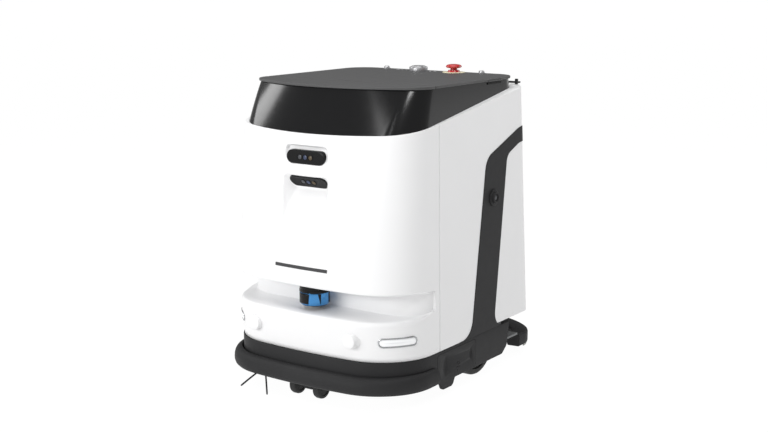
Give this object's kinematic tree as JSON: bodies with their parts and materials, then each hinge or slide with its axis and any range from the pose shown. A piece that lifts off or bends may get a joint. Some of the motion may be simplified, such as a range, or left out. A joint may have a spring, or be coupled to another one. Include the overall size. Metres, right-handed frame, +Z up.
{
  "type": "robotic floor scrubber",
  "caption": "Commercial floor cleaning robot: white body on a dark base, glossy visor, hinged lid, sensor slot, side brush, roller brush and rear squeegee.",
  "frame": {"origin": "on the floor under the middle of the whole machine, squeegee and side brush included", "axes": "+Z up, -Y the driving direction, +X the side of the machine that faces right when it is seen from the front"},
  "size_m": [0.54, 0.79, 0.741],
  "materials": {
    "matte_dark": "matte",
    "white_cover": "satin",
    "visor_gloss": "polished",
    "lid_dark": "matte",
    "steel": "brushed",
    "chrome": "polished",
    "light_lens": "frosted",
    "camera_black": "satin",
    "lens_glass": "coated",
    "ring_blue": "glowing",
    "stop_red": "gloss",
    "legend_yellow": "satin",
    "rubber_dark": "matte",
    "tyre_dark": "matte",
    "bristle": "matte",
    "tank": "satin",
    "metal_frame": "satin",
    "copper_alloy": "satin"
  },
  "bodies": {
    "root": {"front_deck": "metal_frame", "mid_deck": "metal_frame", "rear_deck": "metal_frame", "inner_frame": "metal_frame", "base_skirt": "matte_dark", "strap_left": "matte_dark", "strap_right": "matte_dark", "rear_band": "matte_dark", "front_cover": "white_cover", "slot_liner": "white_cover", "main_cover": "white_cover", "rear_cover": "white_cover", "visor": "visor_gloss", "top_front_panel": "lid_dark", "lid_hinge_pins": "steel", "camera_pod_upper": "camera_black", "camera_pod_lower": "camera_black", "camera_lenses": "lens_glass", "scanner_mount": "camera_black", "scanner_ring": "ring_blue", "front_knobs": "white_cover", "light_bezels": "chrome", "light_lenses": "light_lens", "side_sensors": "matte_dark", "push_handle": "matte_dark", "charge_plate": "matte_dark", "charge_contacts": "copper_alloy", "battery": "metal_frame", "clean_tank": "tank", "recovery_tank": "tank", "suction_housing": "matte_dark", "controller_box": "metal_frame", "brush_housing": "matte_dark", "side_brush_motor": "matte_dark", "cover_screws": "steel", "drive_unit_left": "matte_dark", "drive_unit_right": "matte_dark"},
    "scanner_rotor": {"scanner_rotor": "camera_black"},
    "suction_fan": {"suction_fan": "matte_dark"},
    "bumper": {"bumper": "rubber_dark"},
    "door_left": {"door_left": "matte_dark"},
    "door_right": {"door_right": "matte_dark"},
    "lid": {"top_lid": "lid_dark", "stop_collar": "legend_yellow", "power_bezel": "chrome", "lid_caps": "chrome"},
    "stop_button": {"stop_button": "stop_red"},
    "power_button": {"power_button": "chrome"},
    "drive_wheel_left": {"drive_wheel_left": "tyre_dark"},
    "drive_wheel_right": {"drive_wheel_right": "tyre_dark"},
    "front_caster": {"front_caster_fork": "matte_dark"},
    "front_caster_wheels": {"front_caster_wheels": "tyre_dark"},
    "rear_caster_left": {"rear_caster_fork_left": "matte_dark"},
    "rear_caster_right": {"rear_caster_fork_right": "matte_dark"},
    "rear_wheel_left": {"rear_caster_wheel_left": "tyre_dark"},
    "rear_wheel_right": {"rear_caster_wheel_right": "tyre_dark"},
    "side_brush": {"side_brush_hub": "matte_dark", "side_brush_bundles": "bristle"},
    "roller_brush": {"roller_brush": "bristle"},
    "squeegee": {"squeegee": "rubber_dark"}
  },
  "joints": [
    {"name": "scanner_spin", "type": "hinge", "parent": "root", "child": "scanner_rotor", "pos_m": [0, -0.288, 0.23], "axis": [0, 0, 1], "continuous": true},
    {"name": "fan_spin", "type": "hinge", "parent": "root", "child": "suction_fan", "pos_m": [0, 0.123, 0.18], "axis": [0, 0, 1], "continuous": true},
    {"name": "bumper_push", "type": "slide", "parent": "root", "child": "bumper", "axis": [0, 1, 0], "range_m": [0, 0.004], "stiffness_N_per_m": 2500, "springref_m": -0.002},
    {"name": "door_left_pull", "type": "slide", "parent": "root", "child": "door_left", "axis": [-1, 0, 0], "range_m": [0, 0.06]},
    {"name": "door_right_pull", "type": "slide", "parent": "root", "child": "door_right", "axis": [1, 0, 0], "range_m": [0, 0.06]},
    {"name": "lid_hinge", "type": "hinge", "parent": "root", "child": "lid", "pos_m": [0, -0.153, 0.717], "axis": [1, 0, 0], "range_deg": [0, 75]},
    {"name": "stop_press", "type": "slide", "parent": "lid", "child": "stop_button", "axis": [0, 0, -1], "range_m": [0, 0.004], "stiffness_N_per_m": 1500, "springref_m": -0.002},
    {"name": "power_press", "type": "slide", "parent": "lid", "child": "power_button", "axis": [0, 0, -1], "range_m": [0, 0.0025], "stiffness_N_per_m": 1500, "springref_m": -0.002},
    {"name": "drive_left_spin", "type": "hinge", "parent": "root", "child": "drive_wheel_left", "pos_m": [-0.219, 0.051, 0.0825], "axis": [1, 0, 0], "continuous": true},
    {"name": "drive_right_spin", "type": "hinge", "parent": "root", "child": "drive_wheel_right", "pos_m": [0.219, 0.051, 0.0825], "axis": [1, 0, 0], "continuous": true},
    {"name": "front_caster_swivel", "type": "hinge", "parent": "root", "child": "front_caster", "pos_m": [0, -0.288, 0.06], "axis": [0, 0, 1], "continuous": true},
    {"name": "front_caster_roll", "type": "hinge", "parent": "front_caster", "child": "front_caster_wheels", "pos_m": [0, -0.31, 0.025], "axis": [1, 0, 0], "continuous": true},
    {"name": "rear_left_swivel", "type": "hinge", "parent": "root", "child": "rear_caster_left", "pos_m": [-0.1, 0.181, 0.06], "axis": [0, 0, 1], "continuous": true},
    {"name": "rear_right_swivel", "type": "hinge", "parent": "root", "child": "rear_caster_right", "pos_m": [0.1, 0.181, 0.06], "axis": [0, 0, 1], "continuous": true},
    {"name": "rear_left_roll", "type": "hinge", "parent": "rear_caster_left", "child": "rear_wheel_left", "pos_m": [-0.1, 0.203, 0.025], "axis": [1, 0, 0], "continuous": true},
    {"name": "rear_right_roll", "type": "hinge", "parent": "rear_caster_right", "child": "rear_wheel_right", "pos_m": [0.1, 0.203, 0.025], "axis": [1, 0, 0], "continuous": true},
    {"name": "side_brush_spin", "type": "hinge", "parent": "root", "child": "side_brush", "pos_m": [-0.16, -0.281, 0.05], "axis": [0, 0, 1], "continuous": true},
    {"name": "roller_spin", "type": "hinge", "parent": "root", "child": "roller_brush", "pos_m": [0, -0.119, 0.0465], "axis": [1, 0, 0], "continuous": true},
    {"name": "squeegee_lift", "type": "slide", "parent": "root", "child": "squeegee", "axis": [0, 0, -1], "range_m": [0, 0.017]}
  ]
}
